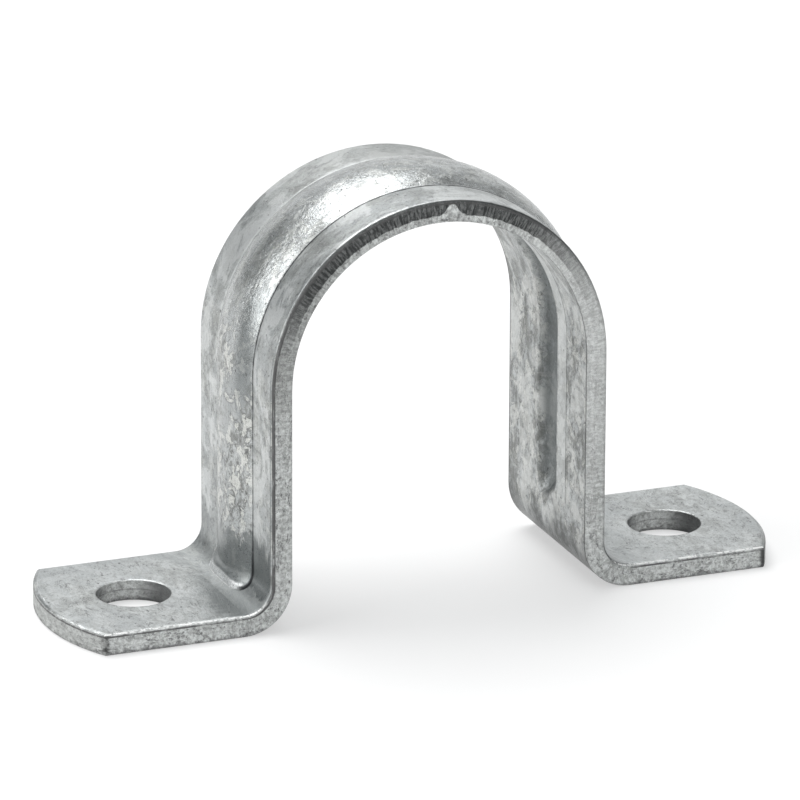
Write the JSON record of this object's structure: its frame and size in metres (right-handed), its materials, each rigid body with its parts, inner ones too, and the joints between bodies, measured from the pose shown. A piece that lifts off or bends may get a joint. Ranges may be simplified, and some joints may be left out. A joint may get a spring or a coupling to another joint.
{
  "type": "conduit strap",
  "caption": "Arched strap folded from one ribbed strip of galvanised sheet steel, with a flat punched foot on each side, for fixing a conduit to a wall.",
  "frame": {"origin": "centre of the strap on the mounting plane under its feet", "axes": "+X from foot to foot, +Y along the conduit, +Z away from the wall towards the crown of the arch"},
  "size_m": [0.0818, 0.0218, 0.0472],
  "materials": {
    "galvanised_steel": "hot-dip galvanised, dull and mottled"
  },
  "bodies": {
    "root": {"strap": "galvanised_steel"}
  },
  "joints": []
}
